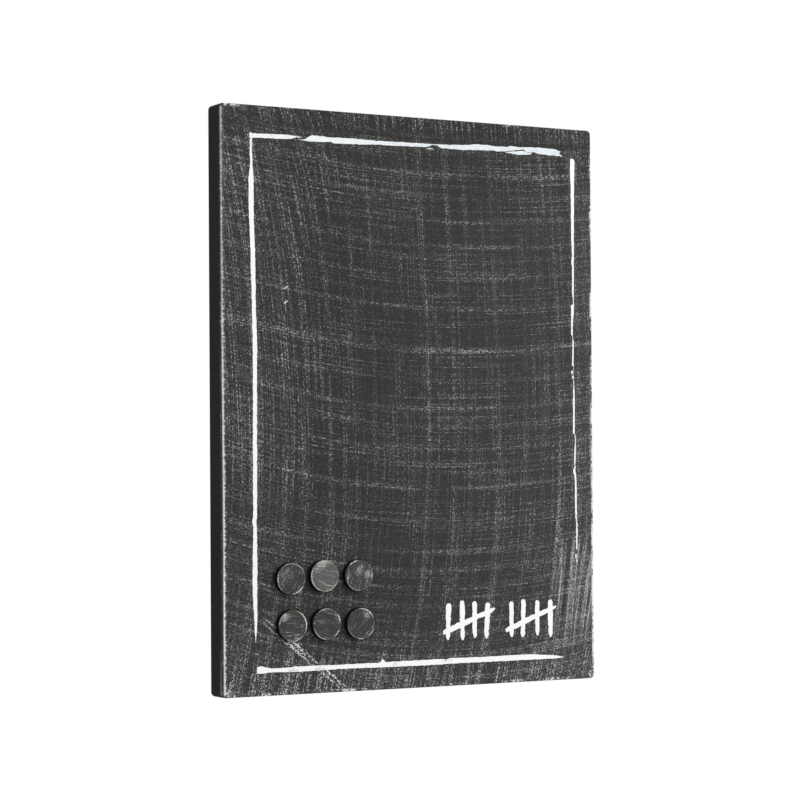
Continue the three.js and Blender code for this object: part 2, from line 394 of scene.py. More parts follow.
def turned(name, profile, steps, low, high):
    """A solid turned about the middle of its box, from [radius, y] points that start and end on the axis."""
    x, z = (low.x + high.x) / 2, (low.z + high.z) / 2
    shape = bmesh.new()
    rings = []
    for radius, y in profile:
        if radius == 0:
            rings.append([shape.verts.new((x, y, z))])
            continue
        angles = [2 * math.pi * i / steps for i in range(steps)]
        ring = [(x + radius * math.cos(angle), y, z + radius * math.sin(angle)) for angle in angles]
        rings.append([shape.verts.new(point) for point in ring])
    for near, far in zip(rings, rings[1:]):
        for i in range(steps):
            j = (i + 1) % steps
            corners = [near[i % len(near)], near[j % len(near)], far[j % len(far)], far[i % len(far)]]
            shape.faces.new(list(dict.fromkeys(corners)))
    return soft_edges(closed_mesh(name, shape))


def arc(x, y, radius, start, end, steps=8):
    """Points of an arc about x, y, from one angle to another in degrees, with both ends."""
    angles = [math.radians(start + (end - start) * i / steps) for i in range(steps + 1)]
    return [(x + radius * math.cos(angle), y + radius * math.sin(angle)) for angle in angles]


# %% [markdown]
# ## Tray
# The real tray is one sheet: the press folds four walls back and a lip in behind each. A fold in 0.8 mm steel
# is round, and the light runs along it, so the fold needs real geometry. The outside is lofted from rounded
# rectangles, the inside is the same shape one sheet smaller, and Boolean modifiers take away the hollow,
# the opening at the back, and the slits where two lips meet.

# %% Tray mesh
def rounded_ring(half_x, half_z, corner, inset, y, steps=10):
    """A rectangle with round corners, drawn in by inset, at depth y."""
    radius = corner - inset
    ring = []
    for quarter, (side_x, side_z) in enumerate(((1, 1), (-1, 1), (-1, -1), (1, -1))):
        for i in range(steps + 1):
            angle = math.pi / 2 * (quarter + i / steps)
            x = side_x * (half_x - corner) + radius * math.cos(angle)
            z = side_z * (half_z - corner) + radius * math.sin(angle)
            ring.append((x, y, z))
    return ring


def folded_box(name, half_x, half_z, front, rear, bend, steps=8):
    """A closed box with round folds at the front and rear and rounder upright corners."""
    places = []
    for i in range(steps + 1):
        angle = math.pi / 2 * i / steps
        inset = bend * (1 - math.sin(angle))
        places.append((front + bend * (1 - math.cos(angle)), inset))
        places.append((rear - bend * (1 - math.cos(angle)), inset))
    rings = [rounded_ring(half_x, half_z, FACE_CORNER + bend, inset, y) for y, inset in sorted(places)]
    return loft(name, rings)


def block(name, size, place, about_y=0.0):
    """A cutting block, turned about the Y axis."""
    shape = bmesh.new()
    matrix = Matrix.Translation(place) @ Matrix.Rotation(about_y, 4, "Y") @ Matrix.Diagonal((*size, 1))
    bmesh.ops.create_cube(shape, size=1, matrix=matrix)
    return closed_mesh(name, shape)


def carve(mesh, cutters):
    """The mesh with each cutter taken away."""
    body = show("carved", mesh)
    tools = [show(f"cutter_{i}", cutter) for i, cutter in enumerate(cutters)]
    for i, tool in enumerate(tools):
        cut = body.modifiers.new(f"cut_{i}", "BOOLEAN")
        cut.operation = "DIFFERENCE"
        cut.solver = "EXACT"
        cut.object = tool
    return finished_mesh(body, *tools)


def tray_mesh():
    skin = folded_box("tray", HALF_WIDTH, HALF_HEIGHT, FACE_Y, REAR_Y, BEND)
    inside = (HALF_WIDTH - SHEET, HALF_HEIGHT - SHEET, FACE_Y + SHEET, REAR_Y - SHEET, BEND - SHEET)
    cutters = [folded_box("hollow", *inside)]
    opening = (2 * (HALF_WIDTH - LIP), 4 * SHEET, 2 * (HALF_HEIGHT - LIP))
    cutters.append(block("opening", opening, (0, REAR_Y, 0)))
    start = FACE_CORNER + BEND
    end = LIP + MITRE_GAP
    middle = (start + end) / 2
    for side_x in (-1, 1):
        for side_z in (-1, 1):
            place = (side_x * (HALF_WIDTH - middle), REAR_Y, side_z * (HALF_HEIGHT - middle))
            size = ((end - start) * math.sqrt(2), 4 * SHEET, MITRE_GAP)
            cutters.append(block("slit", size, place, -side_x * side_z * math.pi / 4))
    return soft_edges(carve(skin, cutters))


tray = tray_mesh()
print("tray mesh:", len(tray.polygons), "faces")

# %% [markdown]
# ## Dry-brushed paint
# Charcoal paint went on first. Then an almost dry brush with a little white was dragged from side to side
# and up and down. It leaves white only where the bristles touch the tooth of the paint, so each pass is a
# bundle of hair-fine lines, and every line is a row of specks. An image would blur from near by, so noise
# builds the finish in the order of the work. The hand moved in arcs, so the coordinate across a pass is
# bent: `sweep` for the passes from side to side, and `drag` for the upright ones. The strongest passes have
# their own places.

# %% Colours and passes
CHARCOAL = srgb("30302e")
PALE_CHARCOAL = srgb("393837")
# The next colour is a darker copy of the charcoal for the walls, the lips and the inside: painted shade.
SHADED_WALL_CHARCOAL = srgb("272829")
SCUMBLE = srgb("c4c5c3")
WORN_WHITE = srgb("f0f4f6")
SWEEPS = [  # height of the pass at mid width, half width, strength
    (187, 2.5, 0.5), (177, 2.5, 0.35), (160, 2.6, 0.75), (144, 2.2, 0.35), (128, 2.5, 0.45),
    (110, 2.2, 0.4), (101, 1.8, 0.3), (88, 2, 0.35), (76, 1.5, 0.2), (66, 2.2, 0.75), (36, 2.4, 1),
    (15, 2, 0.25), (-5, 2.2, 0.65), (-18, 2.2, 0.5), (-33.5, 2, 0.5), (-44, 2, 0.4), (-60.5, 2.4, 0.85),
    (-84, 2.2, 0.35), (-105, 2.2, 0.42), (-119, 2.6, 0.5), (-131, 2.4, 0.6), (-144, 2, 0.35),
    (-163, 2.4, 0.5), (-171, 2.2, 0.5), (-179, 1.8, 0.85), (-184, 1.4, 0.4), (-194, 2.5, 0.5),
]
DRAGS = [  # place across of the upright pass at mid height, half width, strength
    (-123, 2.5, 0.6), (-102, 2.5, 0.45), (-85, 2.8, 0.65), (-67, 2.4, 0.5), (-46, 2, 0.3),
    (-32, 2.2, 0.35), (-20, 1.8, 0.2), (11, 2.4, 0.75), (33, 2.2, 0.55), (46, 2, 0.3), (69, 3.4, 0.7),
    (93, 2.2, 0.3), (105, 2, 0.25), (121, 2.8, 0.65), (138, 3, 0.55), (147, 3, 0.4),
]
HAIR = 0.7    # from one hair of the brush to the next, in millimetres
STREAK = 70   # length over which a hair keeps its load


def brush_directions(across, up):
    """The bent coordinates of the passes: sweep runs up the board, and drag runs across it."""
    left = (across - 24).below(0)
    right = (across - 24).above(0)
    sweep = up - (left * left * 0.0008 + right * right * 0.0006) * (1 - up * 0.0016)
    low = (up + 30).below(0)
    high = (up + 30).above(0)
    drag = across + low * low * 0.0007 + high * high * (across.step(-50, -105) * 0.0004 + 0.0002)
    return sweep, drag


def brush_load(finish, across, up, sweep, drag):
    """How much white the passes from side to side and the upright ones left on the face."""
    noise = finish.noise
    hairs_across = noise(across / STREAK, sweep / HAIR, 3.1, detail=0).step(0.45, 0.66)
    hairs_up = noise(drag / HAIR, up / STREAK, 5.3, detail=0).step(0.45, 0.66)
    lines_across = noise(across / 90, sweep, 13.1, detail=0).step(0.52, 0.7)
    lines_up = noise(drag, up / 90, 15.3, detail=0).step(0.52, 0.7)
    field_across = noise(across / STREAK, sweep / 9, 8.7, detail=1).step(0.25, 0.75)
    field_up = noise(drag / 9, up / STREAK, 1.9, detail=1).step(0.25, 0.75)
    passes_across = finish.bands(sweep, -230, 210, SWEEPS)
    passes_up = finish.bands(drag, -160, 170, DRAGS)
    worn_across = noise(across / 34, sweep / 9, 14.0).step(0.2, 0.55)
    worn_up = noise(drag / 9, up / 34, 17.0).step(0.2, 0.55)
    load_across = lines_across * field_across * 0.12 + 0.004
    load_across = load_across + passes_across * worn_across * (hairs_across * 0.85 + 0.15) * 0.3
    load_up = lines_up * (field_up * 0.11 + across.step(-60, -110) * up.step(-80, 20) * 0.07) + 0.004
    load_up = load_up + passes_up * worn_up * (hairs_up * 0.85 + 0.15) * 0.28

    patches = noise(across / 46, up / 46, 21.0, detail=1)
    strength = patches * 1.2 + 0.36 + across.step(40, 140) * 0.45 + across.step(-70, -140) * 0.2
    foot = (noise(drag / 0.9, up / 120, 31.0, detail=1, roughness=0.6) - 0.52).above(0)
    head = (noise(drag / 0.9, up / 120, 33.0, detail=1) - 0.54).above(0)
    pressed = up.step(-178, -199) * 0.4 + up.step(186, 199) * 0.25
    upper_right = across.step(10, 60) * up.step(-20, 40)
    load_up = load_up * strength * (1 - upper_right * 0.4) * (1 - up.step(182, 188) * 0.75)
    load_up = load_up * (1 - up.step(-185, -192) * 0.35) + up.step(-166, -199) * foot * 2.8
    load_up = load_up + up.step(184, 199) * head * 1.7 + passes_up * hairs_up * pressed
    load_across = load_across * strength * (1 - up.step(183, 189) * 0.65)
    return load_across, load_up


# %% [markdown]
# At the lower right the brush had been dipped again, so it left a few wet leaning streaks. All over the face
# the load is then broken up: rows of round specks along each pass, some loose specks, and a fine grain.

# %% Wet streaks and specks
WET_STREAKS = [  # place across at a height of -150, half width, strength
    (118, 3.5, 0.7), (126.3, 1.8, 1), (130, 2, 0.8), (134, 2, 0.75), (140.5, 2.5, 1), (145, 3, 1),
]
SPECK_ALONG = 1.25   # from one speck to the next in a row, and from one row to the next
SPECK_BESIDE = 0.8


def wet_streaks(finish, across, up):
    """Where the brush was wet, and its hairs there."""
    lean = across - (up + 150) * (across.step(128, 148) * 0.06 + 0.12)
    wet = finish.bands(lean, 100, 160, WET_STREAKS) * up.step(-92, -112) * up.step(-186, -146)
    wet_hairs = finish.noise(lean / 1.15, up / 60, 40.0, detail=2, roughness=0.6).step(0.46, 0.6)
    return wet, wet_hairs


def speckled_white(finish, across, up, grain):
    """How white the face is where it isn't worn."""
    sweep, drag = brush_directions(across, up)
    load_across, load_up = brush_load(finish, across, up, sweep, drag)
    wet, wet_hairs = wet_streaks(finish, across, up)
    load_up = load_up * (1 - wet.clamp() * 0.4) + wet * (wet_hairs * 0.8 + 0.2) * 0.6
    loose = across.step(122, 148) * 0.022 + across.step(-80, -135) * 0.018
    loose = loose + up.step(-172, -198) * 0.01 + 0.009
    rows_across = finish.specks(across / SPECK_ALONG, sweep / SPECK_BESIDE, 0.8) * 8.5 + 0.1
    rows_up = finish.specks(drag / SPECK_BESIDE, up / SPECK_ALONG, 0.8) * 8.5 + 0.1
    loose_specks = finish.specks(across, up) * 8 + 0.02
    white = load_across * rows_across + load_up * rows_up + loose * loose_specks
    white = white + wet * (wet_hairs * 0.8 + wet * 0.2) * 0.72
    return white * (grain.step(0.3, 0.62) * 0.6 + 0.55)


# %% [markdown]
# A scratch runs down from the magnets to the lower edge: two broken lines, jagged by noise, with torn paint
# between them at its upper end. Handling rubbed the folds. The left one has a thin white line with short
# teeth on the face, and the others only have chips.

# %% Scratch and worn folds
def scratch(finish, across, up):
    """How torn the paint is about the scratch, and how bare its lines and flecks are."""
    noise = finish.noise
    scar = (up + 150 + (across + 117.5) * 0.79) / 1.27
    coarse = (noise(across / 7, up / 7, 50.0) - 0.5) * 4
    bent = scar + coarse + (noise(across / 1.3, up / 1.3, 51.0) - 0.5) * 2.6
    broken = noise(across / 1.4, up / 1.4, 52.0, detail=2).step(0.43, 0.55)
    lines = (bent - 1.4).abs().step(0.75, 0.25) + (bent + 1.8).abs().step(0.75, 0.25)
    lines = lines * broken * across.step(-122, -114) * across.step(-54, -60)
    torn = (scar - 0.5).abs().step(5.5, 1) * across.step(-112, -104) * across.step(-84, -92)
    flecks = torn * 0.4 - 0.46 + (noise(across / 1.2, up / 1.2, 55.0, detail=2) - 0.5) * 2.8
    flecks = flecks.step(0, 0.2) * torn.step(0, 0.3)
    bare = lines * (torn * 0.45 + 0.45 + across.step(-86, -76) * 0.4)
    return torn, bare.above(flecks * 0.95)


def fold_wear(finish, across, behind, up, chips):
    """How bare the folds and corners are, and which part of the face belongs to the left fold."""
    noise = finish.noise
    edge_x = HALF_WIDTH / MM - across.abs()
    edge_z = HALF_HEIGHT / MM - up.abs()
    long_chips = noise(across / 30, up / 30, 60.0) - 0.5
    ragged = (chips - 0.5) * 2.2
    left_fold = across.step(-146, -148.2)
    slide = up.step(200, -100) * 0.75
    ticks = noise(across / 4, up / 1.1, 70.0, detail=2) + noise(across / 4, up / 2.9, 20.0, detail=1) - 1
    left_wear = (edge_x + ragged * 0.7 - ticks - slide * 1.1).step(1.5, 0.8)
    left_wear = left_wear * (0.6 + up.step(140, -140) * 0.4 + ticks * 0.8 + ragged * 0.3 + long_chips * 0.6)
    teeth = ticks.step(0.05, 0.15) * (edge_x - slide * 1.1).step(2.6, 1.8) * up.step(130, 60)
    left_wear = left_wear.above(teeth * 0.7) * (behind + slide).step(1.35, 0.75) * left_fold

    bare = across.step(140, 148) * (up.step(150, -80) * 0.2 + 0.12) - up.step(190, 198) * 0.04
    bare = bare + up.step(-190, -198) * (across.step(40, -70) * 0.16 + 0.03)
    other_wear = (edge_x.below(edge_z) + ragged).step(2.9, 1.7) * (1 - left_fold)
    other_wear = other_wear * (ragged * 0.9 + long_chips * 1.8 + bare * 1.6).step(0.2, 0.6) * 0.9

    lower_corner = ((edge_x - 3) ** 2 + (edge_z - 3) ** 2) ** 0.5
    corner_wear = lower_corner.step(3.6, 2) * up.step(-180, -190) * (chips - 0.5).step(0, 0.06)
    dent = lower_corner.step(1.3, 0.7) * across.step(140, 146) * up.step(-180, -190)
    dot = ((across + 148.8) ** 2 + (up - 198.8) ** 2).step(2.4, 1.2)
    wear = left_wear.above(other_wear).above(corner_wear * 0.8) * (1 - dent) * (1 - dot)
    return wear, left_fold


# %% [markdown]
# Both finishes of the tray have the soft bumps of sprayed paint, its orange peel. The face gets all the
# layers in turn, and the rest stayed plain, apart from a pale band beside the left fold that is partly a rub
# and partly painted highlight.

# %% Tray finishes
WHITE_FLECKS = [(-100.8, 77), (-101.3, 67)]   # across, up
ORANGE_PEEL = 1.1           # grain of the sprayed paint, in millimetres
PEEL_HEIGHT = 0.06 * MM
PAINT_ROUGH = 0.66
PAINT_SHINE = 0.04


def plain_coat():
    """A darker copy of the charcoal, painted shade, where no brush has been: the walls, the lips and the
    inside.
    """
    finish = Finish("tray_plain_coat")
    across, depth, up = finish.places()
    cloud = finish.noise(across / 25, up / 25, depth / 25)
    orange_peel = finish.grain(ORANGE_PEEL)
    colour = finish.blend((cloud - 0.3).clamp() * 0.4, SHADED_WALL_CHARCOAL, grey(0.021))
    behind = depth - FACE_Y / MM
    # Beside the left fold the wall turns paler towards the face, most in the lower part: partly a rub and
    # partly painted highlight.
    rub_and_highlight = behind.step(3.2, 1.6) * 0.06 + behind.step(6.5, 1.5) ** 2 * up.step(-160, -197) * 0.5
    colour = finish.blend(across.step(-149.5, -149.9) * rub_and_highlight, colour, SCUMBLE)
    rough = PAINT_ROUGH + (orange_peel - 0.5) * 0.15
    return finish.surface(colour, rough, finish.bump(orange_peel, PEEL_HEIGHT, 0.6), PAINT_SHINE)


def brushed_face():
    """Charcoal that is paler towards the right and darker near the top, the brushed white, and the wear over
    them.
    """
    finish = Finish("tray_brushed_face")
    across, depth, up = finish.places()
    behind = depth - FACE_Y / MM
    grain = finish.noise(across / 0.9, up / 0.9, 11.0, detail=1.5, roughness=0.6)
    chips = finish.noise(across / 2.2, up / 2.2, depth / 2.2, detail=3, roughness=0.6)
    torn, scratched = scratch(finish, across, up)
    white = speckled_white(finish, across, up, grain) * (1 - torn * 0.6)
    for x, z in WHITE_FLECKS:
        drop = ((across - x) / 1.7) ** 2 + ((up - z - (across - x) * 0.5) / 0.8) ** 2
        white = white.above(drop.step(1.3, 0.6) * 0.95)
    wear, left_fold = fold_wear(finish, across, behind, up, chips)
    # A faint pale band at the left fold, partly a rub and partly painted highlight.
    white = white.above(behind.step(2, 0.7) * left_fold * (chips * 0.12 + 0.03)).clamp()

    # The charcoal turns paler towards the right, and stays darker near the top.
    pale_share = across.step(-100, 160) * (1 - up.step(120, 190) * 0.9)
    charcoal = finish.blend(pale_share, CHARCOAL, PALE_CHARCOAL)
    colour = finish.blend(white, charcoal, SCUMBLE)
    colour = finish.blend(wear.above(scratched).clamp(), colour, WORN_WHITE)
    rough = PAINT_ROUGH - white * 0.12 + (grain - 0.5) * 0.12
    bump = finish.bump(finish.grain(ORANGE_PEEL) * 0.5 + white, PEEL_HEIGHT, 0.6)
    return finish.surface(colour, rough, bump, PAINT_SHINE)


def paint_tray(mesh):
    """The brushed finish goes on the face and its folds, and the plain coat on the rest."""
    mesh.materials.append(brushed_face())
    mesh.materials.append(plain_coat())
    for face in mesh.polygons:
        in_front = face.normal.y < -0.02 and face.center.y < FACE_Y + BEND
        face.material_index = 0 if in_front else 1


paint_tray(tray)
put("tray_shell", tray, "board", None, ["front_tray"])

# %% [markdown]
# ## White brush line
# The line round the face is the same white, put on thick with a narrow brush. It is paint with an edge, so it
# is made as a very thin solid: two ragged edges along its length, a top that follows them, and walls down to
# the face. Each stroke has a few listed widths, and a seeded wobble makes the edges ragged.

# %% Brush strokes
PAINT_HEIGHT = 0.06 * MM
STROKE_STEP = 0.45   # millimetres along a stroke from one row of points to the next
SLOW_WOBBLE = 2.2
FAST_WOBBLE = 0.9
EDGE_INSET = 0.18    # how far both edges are drawn in


def wobble(seed, length, size):
    """A smooth random function of the place along a stroke, with one random level each `size`."""
    draw = random.Random(seed)
    levels = [draw.uniform(-1, 1) for _ in range(int(length / size) + 3)]

    def at(place):
        i, share = divmod(place / size, 1)
        share = share * share * (3 - 2 * share)
        return levels[int(i)] * (1 - share) + levels[int(i) + 1] * share

    return at


def between(stations, place):
    """The two edges of a stroke at a place along it, from its listed stations."""
    for (start, *first), (end, *second) in zip(stations, stations[1:]):
        if place <= end:
            share = (place - start) / (end - start)
            return [a + (b - a) * share for a, b in zip(first, second)]
    return stations[-1][1:]


def add_stroke(shape, stations, to_point, seed, rough=0.3, height=PAINT_HEIGHT):
    """Adds one thin solid to shape. A station is a place along the stroke and its two edges, in mm."""
    start = stations[0][0]
    length = stations[-1][0] - start
    wobbles = []
    for side in (0, 1):
        slow = wobble(seed + side, length, SLOW_WOBBLE)
        wobbles.append((slow, wobble(seed + side + 2, length, FAST_WOBBLE)))
    count = max(4, round(length / STROKE_STEP))
    rows = []
    for i in range(count + 1):
        place = start + length * i / count
        edges = between(stations, place)
        middle = (edges[0] + edges[1]) / 2
        room = abs(edges[1] - edges[0]) / 2
        row = []
        for side, edge in enumerate(edges):
            slow, fast = wobbles[side]
            shift = (slow(place - start) * 0.6 + fast(place - start) * 0.4) * min(rough, room * 0.6)
            drawn_in = min(EDGE_INSET, room * 0.3) * (1 if middle > edge else -1)
            row.append(edge + shift + drawn_in)
        for y in (FACE_Y - height, FACE_Y + PAINT_HEIGHT / 3):
            for edge in (row[0], middle, row[1]):
                lift = 0 if edge is middle or y > FACE_Y else height * 0.35
                x, z = to_point(place, edge)
                rows.append(shape.verts.new((x * MM, y + lift, z * MM)))
    for i in range(count):
        near = rows[6 * i:6 * i + 6]
        far = rows[6 * i + 6:6 * i + 12]
        for a, b in ((0, 1), (1, 2), (2, 5), (5, 4), (4, 3), (3, 0)):
            shape.faces.new((near[a], near[b], far[b], far[a]))
    for end in (rows[:6], rows[-6:]):
        shape.faces.new([end[i] for i in (0, 1, 2, 5, 4, 3)])


def strokes(name, groups, seed, material, **options):
    """One piece from several strokes. A group is a way to place points and its stations."""
    shape = bmesh.new()
    for i, (to_point, stations) in enumerate(groups):
        add_stroke(shape, stations, to_point, seed + 10 * i, **options)
    put(name, closed_mesh(name, shape), "board", material)


SMUDGES = [  # x, z and half length
    (-97, -183.1, 5), (-77, -183.2, 5), (-17.5, -182.8, 2.5), (22.5, -181.8, 3), (27, -181.9, 2),
]


def white_paint():
    """Thick white, a little grey where it is thin or smudged, and drier in the top stroke."""
    finish = Finish("white_brush_paint")
    across, _, up = finish.places()
    thin = finish.noise(across / 1.6, up / 1.6, 2.0, detail=3, roughness=0.6)
    hairs = finish.noise(across / 6, up / 6, 6.0, detail=2)
    smudged = finish.noise(across / 1.3, up / 1.3, 9.0, detail=2).step(0.42, 0.56)
    thin = (thin * 0.75 + hairs * 0.25).step(0.64, 0.72)
    for x, z, size in SMUDGES:
        away = ((across - x) / size) ** 2 + ((up - z) / 1.2) ** 2
        thin = thin.above(away.step(1, 0.4) * smudged)
    drier = up.step(170, 175) * across.step(129, 126) * (hairs * 1.4 + across.step(-120, 40) * 0.6 - 0.5)
    colour = finish.blend(drier.clamp(), srgb("fdfeff"), srgb("e0e8ec"))
    colour = finish.blend(thin * 0.55, colour, srgb("9aa3a8"))
    return finish.surface(colour, 0.55 - thin * 0.1, finish.bump(hairs + thin * 0.3, 0.04 * MM, 0.6), 0.25)


# %% [markdown]
# The stations follow the photographed line: where it swells, thins, breaks and ends in a point. An upright
# stroke runs down along z with its edges in x, and a level one runs along x with its edges in z. Each stroke
# can be moved as a whole, and the right one also leans a little.

# %% The four strokes
def upright(shift, lean=0):
    """A way to place an upright stroke, moved across by shift and leaning as it goes down."""
    return lambda place, edge: (edge + shift + place * lean, -place)


def level_stroke(rise):
    """A way to place a level stroke, moved up by rise."""
    return lambda place, edge: (place, edge + rise)


LEFT_LINE = [
    (-181, -128, -126.2), (-170, -128.3, -126.4), (-158, -128.2, -126), (-150, -129.5, -125.2),
    (-120, -129, -125.2), (-100, -128.2, -124.3), (-70, -127.5, -124.2), (-38, -126.8, -123.2),
    (0, -126.9, -123.6), (50, -127.2, -123.8), (79, -127.3, -124), (82, -127.9, -124.7), (86, -127.2, -124.1),
    (114, -127.8, -124), (130, -127.8, -124.2), (146, -127, -124.2), (154, -126.4, -124.5),
    (160, -126.2, -125), (163.5, -125.7, -125.4),
]
RIGHT_LINE = [
    (-178.3, 131, 133.9), (-176.8, 130.9, 135.1), (-165, 130.9, 134.9), (-160, 131.5, 134.7),
    (-135, 131.7, 134.5), (-120, 131.9, 134.5), (-115, 132.3, 134.4), (-107, 132.6, 134.4),
    (-104.5, 131.9, 134.4), (-101.5, 131.9, 134.4), (-100.5, 132.6, 134.4), (-80, 132.6, 134.3),
    (-75, 133.3, 134.3), (-72.2, 133.4, 134.3), (-71.6, 131.6, 134.4), (-65, 131.8, 134.4),
    (-61.5, 131.8, 133.6), (-50, 131.6, 133.4), (-49.6, 132.9, 133.4), (-46.6, 132.9, 133.5),
    (-46.2, 132.8, 134.3), (-30, 132.5, 134.1), (-27.6, 132.6, 134.1), (-27.2, 133.6, 134),
    (-18.5, 133.7, 134.2), (-10, 133.4, 134.9), (0, 133.3, 135), (16, 133.3, 135.1), (21.5, 133.2, 134.9),
    (22, 134.5, 135.3), (24.8, 134.9, 135.6), (25.2, 135.1, 136), (35, 134.3, 135.9), (43.4, 134.1, 135.6),
    (43.8, 134.6, 135.3), (46, 134.5, 135.6), (48.2, 133.3, 135.5), (50.6, 133.3, 135.8),
    (51.4, 134.3, 136.1), (55, 134.7, 136.5), (75, 134.9, 136.8), (83, 135.1, 136.8), (83.6, 135.7, 136.7),
    (86, 135.8, 136.8), (86.6, 135.9, 137.3), (95, 135.9, 137.5), (105.8, 135.8, 137.2),
]
RIGHT_DROPS = [
    [(-24, 131.6, 133.2), (-23, 131.6, 133.4), (-21.6, 131.8, 133.3)],
    [(-20.4, 132.5, 133.8), (-19.2, 132.5, 133.9), (-18, 132.7, 133.9)],
    [(109.4, 134.9, 136.3), (110.6, 134.9, 136.5), (112.1, 135.2, 136.5)],
    [(113, 135.9, 137), (114.3, 135.9, 137.2), (115.6, 136.4, 137.1)],
]
TOP_LINE_START = [
    (-128.2, 177.6, 180.8), (-120, 177.8, 181.1), (-110, 178.1, 181.4), (-100, 178.3, 181.6),
    (-96.5, 178.5, 181.4), (-95, 179.3, 181.2), (-93, 179.7, 181.1), (-90.5, 179.8, 180.9),
    (-88, 180.2, 180.6),
]
TOP_LINE = [
    (-89.8, 178.5, 178.7), (-87, 178.3, 179.3), (-85.3, 178.1, 179.4), (-84, 178, 180.8), (-82, 177.7, 181.8),
    (-80.5, 177.8, 182.4), (-76, 178, 182.4), (-70, 178.3, 181.9), (-65.4, 178.5, 181.9),
    (-64.9, 177.8, 181.9), (-60, 177.6, 182.1), (-50, 178, 182.3), (-42, 178.1, 182.2), (-30, 178.8, 181.8),
    (-8, 179, 182.2), (6, 179.4, 182.4), (12, 179.8, 182.4), (14.5, 181.1, 182.3), (16.5, 181.5, 182.3),
    (19.5, 181.2, 182.3), (20.5, 180.3, 182.4), (24, 179.6, 182.5),
    (40, 179.3, 183.2), (52, 179.9, 184.3), (60, 180.3, 184.6), (65, 180.5, 183.9), (67.2, 180.5, 184),
    (67.7, 179.9, 184), (75, 180.5, 184.1), (78, 180.9, 184.2), (80, 181.1, 184.9), (86, 182, 184.6),
    (92, 182.8, 184.9), (92.6, 181.3, 185), (98, 181.2, 185.1), (101.2, 181.2, 185.2), (101.7, 180.6, 185.2),
    (105, 180.2, 185.3), (115, 180, 185.1), (120, 179.9, 184.6), (122.2, 179.9, 183.9),
]
TOP_TEARS = [
    [(10.5, 178.7, 178.9), (12.6, 178.2, 179.5), (15.2, 178.5, 179.1), (16, 178.7, 178.9)],
    [(76, 179.9, 180.2), (80, 179.2, 180.8), (86, 178.6, 181.6), (91.9, 179, 182.4), (92.5, 179.1, 181.2),
     (98, 179.8, 181.1)],
    [(122.1, 179.9, 181.7), (123.5, 179.8, 180.9), (124.7, 179.8, 180.2)],
    [(122.1, 182.6, 183.8), (123.2, 182.9, 183.5)],
]
BOTTOM_LINE = [
    (-124.5, -184.6, -180.4), (-122, -185, -179.4), (-114, -184.4, -181.3), (-102, -184.5, -181.4),
    (-96, -184.8, -180.8), (-66, -184.3, -181), (-32, -184.5, -181), (-29.5, -184.5, -180.8),
    (-27.5, -184.6, -178.4), (-25, -184.6, -180.8), (0, -184.8, -180.6), (22, -184.6, -180.5),
    (24, -184.5, -181.1), (27, -184.4, -180.3), (60, -184.5, -180.5), (94, -184.5, -180.2),
    (108, -184.5, -181.3), (117.5, -184.4, -182), (122.7, -184, -183.6),
]

white = white_paint()
strokes("line_left", [(upright(0.25), LEFT_LINE)], 11, white)
right_strokes = [(upright(-0.9, -0.007), stations) for stations in (RIGHT_LINE, *RIGHT_DROPS)]
strokes("line_right", right_strokes, 23, white, rough=0.2)
top_strokes = [(level_stroke(-0.3), stations) for stations in (TOP_LINE_START, TOP_LINE, *TOP_TEARS)]
strokes("line_top", top_strokes, 37, white, rough=0.3)
strokes("line_bottom", [(level_stroke(0.15), BOTTOM_LINE)], 53, white, rough=0.25)

# %% [markdown]
# ## Tally marks
# The place at the lower right carries a plain tally in the same white: two groups of four upright strokes
# with a fifth across them, as anyone counts on a board. The height and whiteness suit the line.

# %% Tally strokes
TALLY_BOTTOM = -168
TALLY_TOP = -141
TALLY_WIDTH = 4.4
TALLY_PITCH = 11
TALLY_STARTS = (26, 78)
SLASH_START = (-4.5, 5.5)   # from the foot of the first upright
SLASH_END = (5.5, -5.5)     # from the top of the fourth


def along(start, end):
    """A way to place a stroke on a straight line between two points: along it, and beside it."""
    run = Vector((end[0] - start[0], end[1] - start[1]))
    direction = run.normalized()

    def to_point(place, edge):
        x = start[0] + direction.x * place - direction.y * edge
        z = start[1] + direction.y * place + direction.x * edge
        return x, z

    return to_point, run.length


def tally_stroke(start, end, width, draw):
    to_point, length = along(start, end)
    half = width / 2
    shares = ((0, 0.55), (0.05, 0.95), (0.3, 1.0), (0.62, 0.88), (0.9, 0.82), (1, 0.4))
    stations = []
    for share, fullness in shares:
        reach = half * fullness * draw.uniform(0.92, 1.08)
        stations.append((share * length, -reach, reach))
    return to_point, stations


for group, first_x in zip(("left", "right"), TALLY_STARTS):
    draw = random.Random(first_x)
    uprights = []
    for i in range(4):
        top = (first_x + i * TALLY_PITCH + draw.uniform(-0.6, 0.6), TALLY_TOP + draw.uniform(-1.2, 1.0))
        foot = (top[0] + draw.uniform(-1.4, 0.4), TALLY_BOTTOM + draw.uniform(-1.0, 1.4))
        uprights.append(tally_stroke(top, foot, TALLY_WIDTH, draw))
    slash_start = (first_x + SLASH_START[0], TALLY_BOTTOM + SLASH_START[1])
    slash_end = (first_x + 3 * TALLY_PITCH + SLASH_END[0], TALLY_TOP + SLASH_END[1])
    strokes(f"tally_uprights_{group}", uprights, first_x, white, rough=0.4)
    slash = [tally_stroke(slash_start, slash_end, TALLY_WIDTH, draw)]
    strokes(f"tally_slash_{group}", slash, first_x + 7, white, rough=0.4, height=1.6 * PAINT_HEIGHT)

# %% [markdown]
# ## Magnets
# A magnet is a ferrite disc in a thin pressed cap with a rounded rim. The caps were painted and brushed like
# the board, each in its own direction, and fingers rubbed their rims pale in places. The bright arcs on the
# rims are partly that wear and partly painted highlight, and the side wall of each cap is painted near-black
# as painted shade. One function builds the finish, and six short rows say how the magnets differ.

# %% Magnet caps
CAP_WALL = 0.7 * MM
CAP_RIM = 1.4 * MM
CAP_CROWN = 0.12 * MM   # how far the middle stands out
CAP_FILLET = 0.5 * MM
